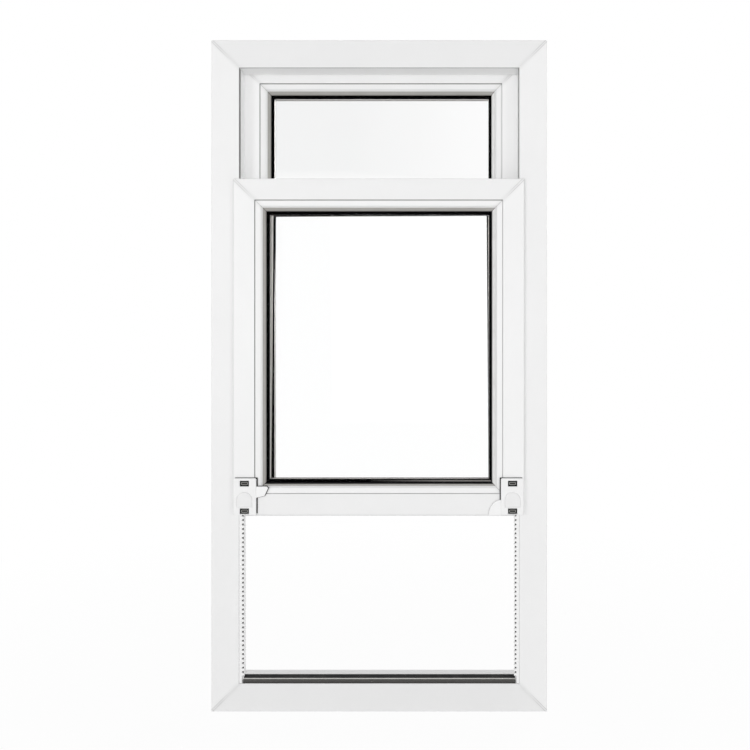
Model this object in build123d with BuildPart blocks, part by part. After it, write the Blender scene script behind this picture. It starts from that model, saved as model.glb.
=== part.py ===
from build123d import *
import os
from collections import namedtuple

# A white vertical sliding window. X runs to the right, Y to the back, Z up, in millimetres.
# The origin is the middle of the frame's underside. Depths are counted from the frame's front face.

# Outer frame
FRAME_WIDTH = 600
FRAME_HEIGHT = 1200
FRAME_DEPTH = 90
FRAME_FACE = 50
REBATE_START = 41
REBATE_STEP = 8
FRAME_WALL = 3
FRAME_WEB = 2
FRAME_EDGE_RADIUS = 1.5
ANCHOR_GROOVE_MOUTH = 8
ANCHOR_GROOVE_DEPTH = 3.5
ANCHOR_GROOVE_INSET = 22

# Fixing holes through the jambs
FIXING_HOLE_RADIUS = 3.25
FIXING_DEPTH = 51
FIXING_SPACING = 300
FIXING_COUNT = 4

# Weld lines on the mitres
WELD_WIDTH = 2.2
WELD_DEPTH = 0.35

# Sash
SASH_LAP = 8.5
SASH_HEIGHT = 598
SASH_RAISED = 353
SASH_PROUD = 10
SASH_DEPTH = 46
SASH_FACE = 38
SASH_OVERHANG = 22.5
SASH_FLANGE = 7.5
SASH_WALL = 2.6
SASH_EDGE_RADIUS = 2

# Fixed light
LIGHT_BELOW_SASH = 11
LIGHT_DEPTH = 46
LIGHT_FACE = 36
LIGHT_TOP_TRIM = 11.8
LIGHT_WALL = 2.8
LIGHT_EDGE_RADIUS = 0.8

# Glazing, the same in the sash and the fixed light, counted from the face and the seam
CASEMENT_WEB = 2
GLASS_SET_BACK = 12
PANE = 4
PANE_GAP = 16
BACK_GASKET = 2
LEG_HEIGHT = 18
PANE_EDGE = 4.5
SPACER_EDGE = 8
SPACER_SIGHT = 23.7
BEAD_WIDTH = 13.4
BEAD_DEPTH = 9
BEAD_SHOULDER = 10.2
BEAD_DROP = 1.4
BEAD_LIP = 5.2
BEAD_GAP = 0.9
BEAD_GAP_DEPTH = 3
GASKET_SIGHT = 18.8
GASKET_SEAT = 4
GASKET_LIP = 0.8

# Racks
RACK_PITCH = 8
RACK_TEETH = 108
RACK_WIDTH = 9
RACK_THICKNESS = 4
RACK_SET_BACK = 1
RACK_CLEARANCE = 0.5
TOOTH_HEIGHT = 4.5
TOOTH_TIP = 2.6
INSERT_WIDTH = 8
INSERT_THICKNESS = 3
INSERT_STRIP = 0.6

# Sill gasket
SILL_GASKET_END_GAP = 6.5
SILL_GASKET_FRONT = 1.5
SILL_GASKET_BASE = 1.5
SILL_GASKET_WIDTH = 17.5
SILL_GASKET_HEIGHT = 11.5
FRONT_BULB = 4
BACK_BULB = 4.5

# Corner boxes
BOX_WIDTH = 40.4
BOX_HEIGHT = 65
BOX_PROUD = 6
BOX_WALL = 2.2
BOX_SIDE_INSET = 1.5
BOX_BOTTOM_INSET = 1.2
BOX_FACE_GAP = 1
BOX_CORNER_RADIUS = 3
BOX_EDGE_RADIUS = 1.2
SLOT_WIDTH = 16.4
SLOT_HEIGHT = 10.3
SLOT_SHIFT = 0.5
SLOT_SPACING = 49
SLOT_FIRST = 6.8
NOTCH_HEIGHT = 58
SEAT_GAP = 0.3

# Thumb pads, latch blocks and release levers
PAD_WIDTH = 28
PAD_HEIGHT = 27
PAD_BOTTOM = 13.8
PAD_PROUD = 2
PAD_CHAMFER = 1.2
LATCH_BASE = 1.2
LATCH_BASE_SIDE = 1.8
LATCH_BASE_TOP = 0.8
LATCH_BASE_EDGE = 0.9
LATCH_PLATE = 3
LATCH_WIDTH = 20
LATCH_TEETH = 5
LATCH_FIRST_GAP = 38
LEVER_THICKNESS = 3
LEVER_SET_BACK = 1.2
TAB_WIDTH = 21
TAB_BOTTOM = 30.4
TAB_HEIGHT = 19.8
TAB_CHAMFER = 2.5
TAB_TAPER = 6.5
TAB_RISE = 3.5
FIN_WIDTH = 21
FIN_HEIGHT = 26.4

# Seals on the back of the sash
FLAP_WIDTH = 3
FLAP_INSET = 3
PILE_WIDTH = 5
PILE_INSET = 28

Ring = namedtuple("Ring", "left right bottom top")

front = -FRAME_DEPTH / 2
backward = Vector(0, 1, 0)
reveal = FRAME_WIDTH / 2 - FRAME_FACE
lip_height = FRAME_HEIGHT - FRAME_FACE
sash_side = reveal + SASH_LAP
rebate = reveal + REBATE_STEP
sides = ("left", "right", "bottom", "top")
turns = {"left": -1, "right": 1}
rack_bottom = FRAME_FACE + SILL_GASKET_HEIGHT + RACK_CLEARANCE
rack_foot = FRAME_FACE + RACK_CLEARANCE
rack_tip = reveal - RACK_WIDTH
rack_root = rack_tip + TOOTH_HEIGHT
frame_ring = Ring(-FRAME_WIDTH / 2, FRAME_WIDTH / 2, 0, FRAME_HEIGHT)
light_bottom = SASH_RAISED - LIGHT_BELOW_SASH
light_top = lip_height + REBATE_STEP
light_ring = Ring(-rebate, rebate, light_bottom, light_top + LIGHT_TOP_TRIM)
sash_ring = Ring(-sash_side, sash_side, SASH_RAISED, SASH_RAISED + SASH_HEIGHT)
sash_front = -SASH_PROUD
sash_body = sash_side - SASH_OVERHANG
box_outer = sash_side - BOX_SIDE_INSET
box_inner = box_outer - BOX_WIDTH
box_bottom = SASH_RAISED + BOX_BOTTOM_INSET
box_top = box_bottom + BOX_HEIGHT
box_front = sash_front - BOX_PROUD
notch_top = SASH_RAISED + NOTCH_HEIGHT
slot_middle = (box_inner + box_outer) / 2 + SLOT_SHIFT
glass_back = GLASS_SET_BACK + 2 * PANE + PANE_GAP
leg_front = glass_back + BACK_GASKET
tab_foot = box_bottom + TAB_BOTTOM
tab_tip = box_inner - TAB_WIDTH
tab_outline = [
    (-box_inner, tab_foot),
    (-tab_tip - TAB_TAPER, tab_foot + TAB_RISE),
    (-tab_tip, tab_foot + TAB_HEIGHT - TAB_CHAMFER),
    (-tab_tip - TAB_CHAMFER, tab_foot + TAB_HEIGHT),
    (-box_inner, tab_foot + TAB_HEIGHT),
]


def front_view(depth):
    """Plane at a depth behind the frame's front face, seen as in the front view."""
    return Plane.XZ.offset(-(front + depth))


def section_plane(ring, side):
    """Plane across one side of a ring: x runs inwards from the outer edge, y runs to the back."""
    middle_x = (ring.left + ring.right) / 2
    middle_z = (ring.bottom + ring.top) / 2
    places = {
        "left": (Vector(ring.left, front, middle_z), Vector(1, 0, 0)),
        "right": (Vector(ring.right, front, middle_z), Vector(-1, 0, 0)),
        "bottom": (Vector(middle_x, front, ring.bottom), Vector(0, 0, 1)),
        "top": (Vector(middle_x, front, ring.top), Vector(0, 0, -1)),
    }
    origin, inward = places[side]
    return Plane(origin=origin, x_dir=inward, z_dir=inward.cross(backward))


def side_length(ring, side):
    """Outer length of one side of a ring."""
    if side in ("left", "right"):
        return ring.top - ring.bottom
    return ring.right - ring.left


def end_corners(ring, side):
    """The outer corner at each end of a side, with the direction that points out past its mitre."""
    section = section_plane(ring, side)
    half = side_length(ring, side) / 2
    return [
        (section.origin + section.z_dir * (end * half), section.z_dir * end + section.x_dir)
        for end in (-1, 1)
    ]


def mitred_bar(ring, side, outline, chambers=(), rounded=(), radius=1):
    """One side of a mitred frame: a section with its chambers, cut at 45 degrees at both ends."""
    section = section_plane(ring, side)
    with BuildPart() as bar:
        with BuildSketch(section) as profile:
            with BuildLine():
                Polyline(*outline, close=True)
            make_face()
            corners = [
                corner
                for corner in profile.vertices()
                if any(abs(corner.X - x) + abs(corner.Y - y) < 0.01 for x, y in rounded)
            ]
            if corners:
                fillet(corners, radius)
            for low_x, high_x, low_y, high_y in chambers:
                with Locations(((low_x + high_x) / 2, (low_y + high_y) / 2)):
                    Rectangle(high_x - low_x, high_y - low_y, mode=Mode.SUBTRACT)
        extrude(amount=side_length(ring, side) / 2, both=True)
        for corner, outward in end_corners(ring, side):
            split(bisect_by=Plane(origin=corner, z_dir=outward), keep=Keep.BOTTOM)
    return bar.part


def welded_bar(ring, side, face, face_width, outline, **details):
    """A mitred bar whose front face carries half of the shallow weld line at each mitre."""
    with BuildPart() as bar:
        add(mitred_bar(ring, side, outline, **details))
        for corner, outward in end_corners(ring, side):
            inward = section_plane(ring, side).x_dir * 2 - outward
            line = Plane(origin=corner + backward * face, x_dir=inward, z_dir=backward)
            with BuildSketch(line):
                Rectangle(4 * face_width, WELD_WIDTH)
            extrude(amount=WELD_DEPTH, mode=Mode.SUBTRACT)
    return bar.part


def finish(builder, node):
    """Names a finished piece and writes it."""
    builder.part.label = node
    export_step(builder.part, f"parts/{node}.step")


def frame_outline():
    """Section of the outer frame, with its rebate for the fixed light and its anchor grooves."""
    far = FRAME_DEPTH
    low_groove = ANCHOR_GROOVE_INSET
    high_groove = FRAME_DEPTH - ANCHOR_GROOVE_INSET
    return [
        (0, 0),
        (FRAME_FACE, 0),
        (FRAME_FACE, REBATE_START),
        (FRAME_FACE - REBATE_STEP, REBATE_START),
        (FRAME_FACE - REBATE_STEP, far),
        (0, far),
        (0, high_groove),
        (ANCHOR_GROOVE_DEPTH, high_groove),
        (ANCHOR_GROOVE_DEPTH, high_groove - ANCHOR_GROOVE_MOUTH),
        (0, high_groove - ANCHOR_GROOVE_MOUTH),
        (0, low_groove + ANCHOR_GROOVE_MOUTH),
        (ANCHOR_GROOVE_DEPTH, low_groove + ANCHOR_GROOVE_MOUTH),
        (ANCHOR_GROOVE_DEPTH, low_groove),
        (0, low_groove),
    ]


def frame_chambers():
    """The four chambers of the outer frame."""
    start = ANCHOR_GROOVE_DEPTH + FRAME_WALL
    web = (start + FRAME_FACE - FRAME_WALL) / 2
    shelf = REBATE_START - FRAME_WALL
    inner = FRAME_FACE - REBATE_STEP - FRAME_WALL
    middle = (shelf + FRAME_WEB + FRAME_DEPTH - FRAME_WALL) / 2
    return [
        (start, web - FRAME_WEB / 2, FRAME_WALL, shelf),
        (web + FRAME_WEB / 2, FRAME_FACE - FRAME_WALL, FRAME_WALL, shelf),
        (start, inner, shelf + FRAME_WEB, middle - FRAME_WEB / 2),
        (start, inner, middle + FRAME_WEB / 2, FRAME_DEPTH - FRAME_WALL),
    ]


def casement_outline(face, face_width, depth, overhang, flange):
    """Section of a glazed frame: a flange past its body, a face, a glass rebate and a back leg."""
    back = face + depth
    leg = face + leg_front
    outline = [
        (0, face),
        (face_width, face),
        (face_width, leg),
        (face_width + LEG_HEIGHT, leg),
        (face_width + LEG_HEIGHT, back),
        (overhang, back),
    ]
    if overhang:
        outline += [(overhang, face + flange), (0, face + flange)]
    return outline


def casement_chambers(face, face_width, depth, start, wall):
    """The front and back chambers beside the glass rebate."""
    middle = face + depth / 2
    return [
        (start + wall, face_width - wall, face + wall, middle - CASEMENT_WEB / 2),
        (start + wall, face_width - wall, middle + CASEMENT_WEB / 2, face + depth - wall),
    ]


def bead_outline(face, seam):
    """Section of a glazing bead: an open joint at the seam, a falling face and a rounded nose."""
    return [
        (seam, face + BEAD_GAP_DEPTH),
        (seam + BEAD_GAP, face + BEAD_GAP_DEPTH),
        (seam + BEAD_GAP, face + SEAT_GAP),
        (seam + BEAD_SHOULDER, face + BEAD_DROP),
        (seam + BEAD_WIDTH, face + BEAD_LIP),
        (seam + BEAD_WIDTH, face + BEAD_DEPTH),
        (seam, face + BEAD_DEPTH),
    ]


def gasket_outline(face, seam):
    """Section of the grey wedge gasket, under the bead and sloping down to the glass."""
    glass = face + GLASS_SET_BACK
    return [
        (seam + GASKET_SEAT, face + BEAD_DEPTH),
        (seam + BEAD_WIDTH, face + BEAD_DEPTH),
        (seam + BEAD_WIDTH, face + BEAD_LIP),
        (seam + BEAD_WIDTH + GASKET_LIP, face + BEAD_LIP),
        (seam + GASKET_SIGHT, glass - GASKET_LIP),
        (seam + GASKET_SIGHT, glass),
        (seam + GASKET_SEAT, glass),
    ]


def back_gasket_outline(face, seam):
    """Section of the flat gasket between the back pane and the leg."""
    return [
        (seam + PANE_EDGE, face + glass_back),
        (seam + LEG_HEIGHT, face + glass_back),
        (seam + LEG_HEIGHT, face + leg_front),
        (seam + PANE_EDGE, face + leg_front),
    ]


def ring_rectangle(ring, inset, mode=Mode.ADD):
    """Rectangle inside a ring, drawn in the front view."""
    middle = ((ring.left + ring.right) / 2, (ring.bottom + ring.top) / 2)
    with Locations(middle):
        Rectangle(ring.right - ring.left - 2 * inset, ring.top - ring.bottom - 2 * inset, mode=mode)


def side_rectangle(inner, outer, bottom, top, turn):
    """Rectangle between two distances from the middle and two heights, on one side."""
    with Locations((turn * (inner + outer) / 2, (bottom + top) / 2)):
        Rectangle(outer - inner, top - bottom)


def make_glazing(name, ring, face, seam):
    """Beads, gaskets, two panes and the spacer of one glazed frame."""
    nose = [(seam + BEAD_SHOULDER, face + BEAD_DROP)]
    for side in sides:
        with BuildPart() as bead:
            add(mitred_bar(ring, side, bead_outline(face, seam), rounded=nose, radius=BEAD_DROP))
        finish(bead, f"{name}_bead_{side}")
    with BuildPart() as gaskets:
        for side in sides:
            add(mitred_bar(ring, side, gasket_outline(face, seam)))
            add(mitred_bar(ring, side, back_gasket_outline(face, seam)))
    finish(gaskets, f"{name}_gaskets")
    pane_backs = {"front": GLASS_SET_BACK + PANE, "back": glass_back}
    for place, back in pane_backs.items():
        with BuildPart() as pane:
            with BuildSketch(front_view(face + back)):
                ring_rectangle(ring, seam + PANE_EDGE)
            extrude(amount=PANE)
        finish(pane, f"{name}_glass_{place}")
    with BuildPart() as spacer:
        with BuildSketch(front_view(face + GLASS_SET_BACK + PANE + PANE_GAP)):
            ring_rectangle(ring, seam + SPACER_EDGE)
            ring_rectangle(ring, seam + SPACER_SIGHT, mode=Mode.SUBTRACT)
        extrude(amount=PANE_GAP)
    finish(spacer, f"{name}_spacer")


def make_frame():
    """The four welded members of the outer frame, with fixing holes through the jambs."""
    nodes = {
        "left": "frame_jamb_left",
        "right": "frame_jamb_right",
        "bottom": "frame_sill",
        "top": "frame_head",
    }
    edges = [(0, 0), (FRAME_FACE, 0), (FRAME_FACE - REBATE_STEP, FRAME_DEPTH), (0, FRAME_DEPTH)]
    for side, node in nodes.items():
        with BuildPart() as member:
            add(
                welded_bar(
                    frame_ring,
                    side,
                    0,
                    FRAME_FACE,
                    frame_outline(),
                    chambers=frame_chambers(),
                    rounded=edges,
                    radius=FRAME_EDGE_RADIUS,
                )
            )
            if side in ("left", "right"):
                out = section_plane(frame_ring, side).x_dir * -1
                mouth = Vector(out.X * rebate, front + FIXING_DEPTH, FRAME_HEIGHT / 2)
                with BuildSketch(Plane(origin=mouth, x_dir=backward, z_dir=out)):
                    with GridLocations(0, FIXING_SPACING, 1, FIXING_COUNT):
                        Circle(FIXING_HOLE_RADIUS)
                extrude(amount=FRAME_FACE, mode=Mode.SUBTRACT)
        finish(member, node)


def make_fixed_light():
    """The four welded members of the fixed light, trimmed under the head, behind the sash."""
    nodes = {
        "left": "fixed_stile_left",
        "right": "fixed_stile_right",
        "bottom": "fixed_rail_bottom",
        "top": "fixed_rail_top",
    }
    face = REBATE_START
    under_head = Plane(origin=(0, 0, light_top), z_dir=(0, 0, 1))
    for side, node in nodes.items():
        start = LIGHT_TOP_TRIM if side == "top" else 0
        with BuildPart() as member:
            add(
                welded_bar(
                    light_ring,
                    side,
                    face,
                    LIGHT_FACE,
                    casement_outline(face, LIGHT_FACE, LIGHT_DEPTH, 0, 0),
                    chambers=casement_chambers(face, LIGHT_FACE, LIGHT_DEPTH, start, LIGHT_WALL),
                    rounded=[(LIGHT_FACE, face), (LIGHT_FACE + LEG_HEIGHT, face + LIGHT_DEPTH)],
                    radius=LIGHT_EDGE_RADIUS,
                )
            )
            if side != "bottom":
                split(bisect_by=under_head, keep=Keep.BOTTOM)
        finish(member, node)
    make_glazing("fixed", light_ring, face, LIGHT_FACE)


def make_sash():
    """The four welded members of the sash, notched behind the corner boxes."""
    nodes = {
        "left": "sash_stile_left",
        "right": "sash_stile_right",
        "bottom": "sash_rail_bottom",
        "top": "sash_rail_top",
    }
    notched = {"left": [-1], "right": [1], "bottom": [-1, 1], "top": []}
    notch_outer = sash_side + SASH_OVERHANG
    notch_bottom = SASH_RAISED - SASH_OVERHANG
    face = sash_front
    chambers = casement_chambers(face, SASH_FACE, SASH_DEPTH, SASH_OVERHANG, SASH_WALL)
    for side, node in nodes.items():
        with BuildPart() as member:
            add(
                welded_bar(
                    sash_ring,
                    side,
                    face,
                    SASH_FACE,
                    casement_outline(face, SASH_FACE, SASH_DEPTH, SASH_OVERHANG, SASH_FLANGE),
                    chambers=chambers,
                    rounded=[(0, face), (SASH_OVERHANG, face + SASH_DEPTH)],
                    radius=SASH_EDGE_RADIUS,
                )
            )
            for turn in notched[side]:
                with BuildSketch(front_view(sash_front + SASH_FLANGE)):
                    side_rectangle(sash_body, notch_outer, notch_bottom, notch_top, turn)
                extrude(amount=2 * SASH_FLANGE, mode=Mode.SUBTRACT)
        finish(member, node)
    make_glazing("sash", sash_ring, face, SASH_FACE)


def make_racks():
    """Toothed racks on the reveals, each in front of a dark insert that lines the reveal above it."""
    half_tip = TOOTH_TIP / 2
    half_root = (RACK_PITCH - TOOTH_TIP) / 2
    for name, turn in turns.items():
        outline = []
        for tooth in range(RACK_TEETH):
            middle = rack_bottom + (tooth + 0.5) * RACK_PITCH
            outline += [
                (turn * rack_root, middle - half_root),
                (turn * rack_tip, middle - half_tip),
                (turn * rack_tip, middle + half_tip),
                (turn * rack_root, middle + half_root),
            ]
        rack_top = rack_bottom + RACK_TEETH * RACK_PITCH
        outline += [(turn * rack_root, rack_top), (turn * reveal, rack_top)]
        outline += [(turn * reveal, rack_foot), (turn * rack_root, rack_foot)]
        with BuildPart() as rack:
            with BuildSketch(front_view(RACK_SET_BACK + RACK_THICKNESS)):
                with BuildLine():
                    Polyline(*outline, close=True)
                make_face()
            extrude(amount=RACK_THICKNESS)
        finish(rack, f"rack_{name}")
        with BuildPart() as insert:
            insert_back = RACK_SET_BACK + RACK_THICKNESS + INSERT_THICKNESS
            with BuildSketch(front_view(insert_back)):
                side_rectangle(reveal - INSERT_WIDTH, reveal, rack_bottom, rack_top, turn)
            extrude(amount=INSERT_THICKNESS)
            with BuildSketch(front_view(insert_back)):
                side_rectangle(reveal - INSERT_STRIP, reveal, rack_top, lip_height, turn)
            extrude(amount=INSERT_THICKNESS + RACK_THICKNESS)
        finish(insert, f"rack_insert_{name}")


def make_sill_gasket():
    """Black sill gasket with a low front bulb and a high back bulb, on one base strip."""
    start = -reveal + SILL_GASKET_END_GAP
    across = Plane(origin=(start, front, FRAME_FACE), x_dir=backward, z_dir=(1, 0, 0))
    front_middle = SILL_GASKET_FRONT + FRONT_BULB
    back_middle = SILL_GASKET_FRONT + SILL_GASKET_WIDTH - BACK_BULB
    stem = SILL_GASKET_HEIGHT - BACK_BULB
    with BuildPart() as gasket:
        with BuildSketch(across):
            with Locations((SILL_GASKET_FRONT + SILL_GASKET_WIDTH / 2, SILL_GASKET_BASE / 2)):
                Rectangle(SILL_GASKET_WIDTH, SILL_GASKET_BASE)
            with Locations((front_middle, FRONT_BULB)):
                Circle(FRONT_BULB)
            with Locations((back_middle, stem)):
                Circle(BACK_BULB)
            with Locations((back_middle, stem / 2)):
                Rectangle(BACK_BULB, stem)
        extrude(amount=-2 * start)
    finish(gasket, "sill_gasket")


def make_corner_box(name, turn):
    """Hollow plastic box over a lower corner of the sash, with two slots in its front."""
    skirt_inner = sash_body + SEAT_GAP
    skirt_top = notch_top - SEAT_GAP
    with BuildPart() as box:
        with BuildSketch(front_view(sash_front)):
            side_rectangle(box_inner, box_outer, box_bottom, box_top, turn)
        extrude(amount=BOX_PROUD)
        upright = box.edges().filter_by(Axis.Y).sort_by(Axis.Z)[-2:]
        fillet(upright, BOX_CORNER_RADIUS)
        fillet(box.faces().sort_by(Axis.Y)[0].edges(), BOX_EDGE_RADIUS)
        with BuildSketch(front_view(-BOX_FACE_GAP)):
            side_rectangle(skirt_inner, box_outer, box_bottom, skirt_top, turn)
        extrude(amount=SASH_PROUD - BOX_FACE_GAP)
        with BuildSketch(front_view(sash_front)):
            side_rectangle(
                box_inner + BOX_WALL,
                box_outer - BOX_WALL,
                box_bottom + BOX_WALL,
                box_top - BOX_WALL,
                turn,
            )
        extrude(amount=BOX_PROUD - BOX_WALL, mode=Mode.SUBTRACT)
        with BuildSketch(front_view(-BOX_FACE_GAP)):
            side_rectangle(
                skirt_inner,
                box_outer - BOX_WALL,
                box_bottom + BOX_WALL,
                skirt_top - BOX_WALL,
                turn,
            )
        extrude(amount=SASH_PROUD - BOX_FACE_GAP, mode=Mode.SUBTRACT)
        with BuildSketch(front_view(sash_front)):
            for step in range(2):
                with Locations((turn * slot_middle, box_bottom + SLOT_FIRST + step * SLOT_SPACING)):
                    Rectangle(SLOT_WIDTH, SLOT_HEIGHT)
        extrude(amount=BOX_PROUD, mode=Mode.SUBTRACT)
        with BuildSketch(front_view(sash_front)):
            side_rectangle(
                box_inner,
                box_outer - BOX_WALL,
                box_bottom + BOX_WALL,
                box_top,
                turn,
            )
        extrude(amount=LATCH_BASE + 2 * SEAT_GAP, mode=Mode.SUBTRACT)
    finish(box, f"corner_box_{name}")


def make_latch(name, turn):
    """Dark latch block: a base under the box's rim, a plate behind its slots, and a toothed leg."""
    plate_bottom = box_bottom + BOX_WALL + SEAT_GAP
    plate_top = box_top - BOX_WALL - SEAT_GAP
    leg_inner = sash_body + SEAT_GAP
    leg_outer = rack_tip - SEAT_GAP
    leg_top = notch_top - BOX_WALL - 2 * SEAT_GAP
    rack_back = RACK_SET_BACK + RACK_THICKNESS
    slope = (RACK_PITCH - 2 * TOOTH_TIP) / 2 / TOOTH_HEIGHT
    half_root = (RACK_PITCH - TOOTH_TIP) / 2 - SEAT_GAP
    reach = TOOTH_HEIGHT - SEAT_GAP
    half_end = half_root - slope * reach
    with BuildPart() as latch:
        with BuildSketch(front_view(sash_front - SEAT_GAP)):
            side_rectangle(
                box_inner - LATCH_BASE_SIDE,
                box_outer - BOX_WALL - SEAT_GAP,
                plate_bottom,
                box_top + LATCH_BASE_TOP,
                turn,
            )
        extrude(amount=LATCH_BASE)
        if name == "left":
            with BuildSketch(front_view(sash_front - SEAT_GAP)):
                with BuildLine():
                    Polyline(*tab_outline, close=True)
                make_face()
                offset(amount=LATCH_BASE_EDGE, kind=Kind.INTERSECTION)
            extrude(amount=LATCH_BASE)
        with BuildSketch(front_view(sash_front - SEAT_GAP)):
            side_rectangle(
                slot_middle - LATCH_WIDTH / 2,
                slot_middle + LATCH_WIDTH / 2,
                plate_bottom,
                plate_top,
                turn,
            )
        extrude(amount=LATCH_PLATE)
        with BuildSketch(front_view(rack_back)):
            side_rectangle(leg_inner, leg_outer, plate_bottom, leg_top, turn)
        extrude(amount=rack_back - sash_front + SEAT_GAP)
        with BuildSketch(front_view(rack_back)):
            for tooth in range(LATCH_TEETH):
                middle = rack_bottom + (LATCH_FIRST_GAP + tooth) * RACK_PITCH
                with BuildLine():
                    Polyline(
                        (turn * leg_inner, middle - half_root),
                        (turn * rack_tip, middle - half_root),
                        (turn * (rack_tip + reach), middle - half_end),
                        (turn * (rack_tip + reach), middle + half_end),
                        (turn * rack_tip, middle + half_root),
                        (turn * leg_inner, middle + half_root),
                        close=True,
                    )
                make_face()
        extrude(amount=RACK_THICKNESS)
    finish(latch, f"latch_block_{name}")


def make_thumb_pad(name, turn):
    """Arched pad between the slots of a corner box, with a sloped front edge."""
    arch = PAD_WIDTH / 2
    middle = turn * slot_middle
    foot = box_bottom + PAD_BOTTOM
    spring = foot + PAD_HEIGHT - arch
    with BuildPart() as pad:
        with BuildSketch(front_view(box_front)):
            with BuildLine():
                Polyline(
                    (middle - arch, spring),
                    (middle - arch, foot),
                    (middle + arch, foot),
                    (middle + arch, spring),
                )
                CenterArc((middle, spring), arch, 0, 180)
            make_face()
        extrude(amount=PAD_PROUD)
        chamfer(pad.faces().sort_by(Axis.Y)[0].edges(), PAD_CHAMFER)
    finish(pad, f"thumb_pad_{name}")


def make_levers():
    """Release levers on the inner sides of the boxes: a tab on the left and a fin on the right."""
    lever_back = box_front + LEVER_SET_BACK + LEVER_THICKNESS
    with BuildPart() as tab:
        with BuildSketch(front_view(lever_back)):
            with BuildLine():
                Polyline(*tab_outline, close=True)
            make_face()
        extrude(amount=LEVER_THICKNESS)
    finish(tab, "lever_left")
    with BuildPart() as fin:
        with BuildSketch(front_view(lever_back)):
            with BuildLine():
                EllipticalCenterArc((box_inner, box_bottom), FIN_WIDTH, FIN_HEIGHT, 90, arc_size=90)
                Line((box_inner - FIN_WIDTH, box_bottom), (box_inner, box_bottom))
                Line((box_inner, box_bottom), (box_inner, box_bottom + FIN_HEIGHT))
            make_face()
        extrude(amount=LEVER_THICKNESS)
    finish(fin, "lever_right")


def make_seals(name, turn):
    """Flap seal behind the flange and pile seal between the sash and the fixed light."""
    flap_outer = sash_side - FLAP_INSET
    sash_top = SASH_RAISED + SASH_HEIGHT
    with BuildPart() as flap:
        with BuildSketch(front_view(-SEAT_GAP)):
            side_rectangle(flap_outer - FLAP_WIDTH, flap_outer, box_top, sash_top - FLAP_INSET, turn)
        extrude(amount=SASH_PROUD - SASH_FLANGE - SEAT_GAP)
    finish(flap, f"flap_seal_{name}")
    pile_outer = sash_side - PILE_INSET
    low = SASH_RAISED + SASH_OVERHANG
    high = sash_top - SASH_OVERHANG
    with BuildPart() as pile:
        with BuildSketch(front_view(REBATE_START - SEAT_GAP)):
            side_rectangle(pile_outer - PILE_WIDTH, pile_outer, low, high, turn)
        extrude(amount=REBATE_START - SEAT_GAP - (SASH_DEPTH - SASH_PROUD))
    finish(pile, f"pile_seal_{name}")


os.makedirs("parts", exist_ok=True)
make_frame()
make_fixed_light()
make_sash()
make_racks()
make_sill_gasket()
for name, turn in turns.items():
    make_corner_box(name, turn)
    make_latch(name, turn)
    make_thumb_pad(name, turn)
    make_seals(name, turn)
make_levers()
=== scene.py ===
# %% [markdown]
# # Dressing a white vertical sliding window
#
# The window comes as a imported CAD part: a welded white frame, a fixed light, one raised sash,
# racks, seals and the boxes on the sash's lower corners. Its sizes are right and stay as they are.
# This lesson gives every piece its finish, and adds the small things that the CAD leaves out.
# Everything is in metres. X runs to the right, Y to the back and Z up from the frame's underside.

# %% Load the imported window
import math

import bmesh
import bpy
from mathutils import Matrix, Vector


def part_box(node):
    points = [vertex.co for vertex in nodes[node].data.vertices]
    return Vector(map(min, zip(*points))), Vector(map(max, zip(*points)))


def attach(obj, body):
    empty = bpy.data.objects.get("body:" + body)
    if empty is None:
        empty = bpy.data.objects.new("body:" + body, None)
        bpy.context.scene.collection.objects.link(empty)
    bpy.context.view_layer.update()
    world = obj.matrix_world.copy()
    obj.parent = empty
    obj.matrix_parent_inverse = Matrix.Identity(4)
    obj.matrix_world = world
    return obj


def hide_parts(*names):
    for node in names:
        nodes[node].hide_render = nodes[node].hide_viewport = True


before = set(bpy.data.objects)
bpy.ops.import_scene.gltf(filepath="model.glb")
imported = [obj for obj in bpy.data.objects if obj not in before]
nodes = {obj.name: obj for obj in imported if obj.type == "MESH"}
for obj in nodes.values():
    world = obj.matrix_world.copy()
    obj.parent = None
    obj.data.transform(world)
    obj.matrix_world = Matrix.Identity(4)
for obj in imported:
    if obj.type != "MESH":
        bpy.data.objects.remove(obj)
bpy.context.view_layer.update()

# %% [markdown]
# ## The camera
#
# The picture was taken from a little right of the middle, at about half the window's height, with
# the camera level. So the camera looks straight along +Y, and the lens is shifted instead of
# turned: a shift moves the picture without making the uprights lean. At the frame's front face the
# square picture takes in 1.34 m, and the lens follows from that width, the distance and the sensor.

# %% Place the camera
FRONT_FACE = -0.045
PICTURE_WIDTH = 1.340
PICTURE_CENTRE = (-0.0074, 0.6015)
CAMERA_DISTANCE = 1.6
CAMERA_SIDE = 0.123
CAMERA_HEIGHT = 0.6685
SENSOR = 36.0

camera_data = bpy.data.cameras.new("window_camera")
camera = bpy.data.objects.new("window_camera", camera_data)
bpy.context.scene.collection.objects.link(camera)
camera.location = (CAMERA_SIDE, FRONT_FACE - CAMERA_DISTANCE, CAMERA_HEIGHT)
camera.rotation_euler = (math.radians(90), 0, 0)
camera_data.sensor_width = SENSOR
camera_data.lens = SENSOR * CAMERA_DISTANCE / PICTURE_WIDTH
camera_data.shift_x = (PICTURE_CENTRE[0] - CAMERA_SIDE) / PICTURE_WIDTH
camera_data.shift_y = (PICTURE_CENTRE[1] - CAMERA_HEIGHT) / PICTURE_WIDTH
bpy.context.scene.camera = camera
print("lens", round(camera_data.lens, 2))
print("shift", round(camera_data.shift_x, 4), round(camera_data.shift_y, 4))

# %% [markdown]
# ## A small language for materials
#
# Node trees are easier to read as formulas. `Value` wraps one socket, and its operators add Math
# nodes, so `1 - mask * 0.4` builds the tree that computes it. The reflected forms, such as
# `__rsub__`, let a plain number stand on the left. Colours and vectors never go through Math
# nodes, which would turn them grey: they use Mix and Vector Math nodes from `Finish.node`.

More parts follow.
